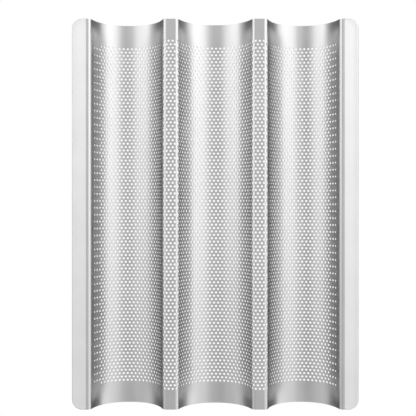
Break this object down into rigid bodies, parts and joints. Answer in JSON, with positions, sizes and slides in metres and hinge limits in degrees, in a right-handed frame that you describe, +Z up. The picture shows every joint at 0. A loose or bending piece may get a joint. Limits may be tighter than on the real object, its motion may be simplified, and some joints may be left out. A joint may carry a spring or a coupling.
{
  "type": "baguette tray",
  "caption": "Baguette baking tray: perforated steel sheet pressed into side-by-side round-bottomed troughs, open at both ends, with plain hemmed rims along both long sides.",
  "frame": {"origin": "on the resting surface, under the middle of the tray", "axes": "+Z up out of the troughs, +Y along the troughs, +X across them towards the right rim"},
  "size_m": [0.2794, 0.381, 0.0305],
  "materials": {
    "sheet_steel": "bright rolled stainless sheet, faint grain along the troughs, punched with small round holes",
    "rim_steel": "bright satin stainless strip, no holes",
    "wire_steel": "plain drawn wire, hidden inside the hem"
  },
  "bodies": {
    "root": {"trough_sheet": "sheet_steel", "left_rim": "rim_steel", "right_rim": "rim_steel", "left_edge_wire": "wire_steel", "right_edge_wire": "wire_steel"}
  },
  "joints": []
}
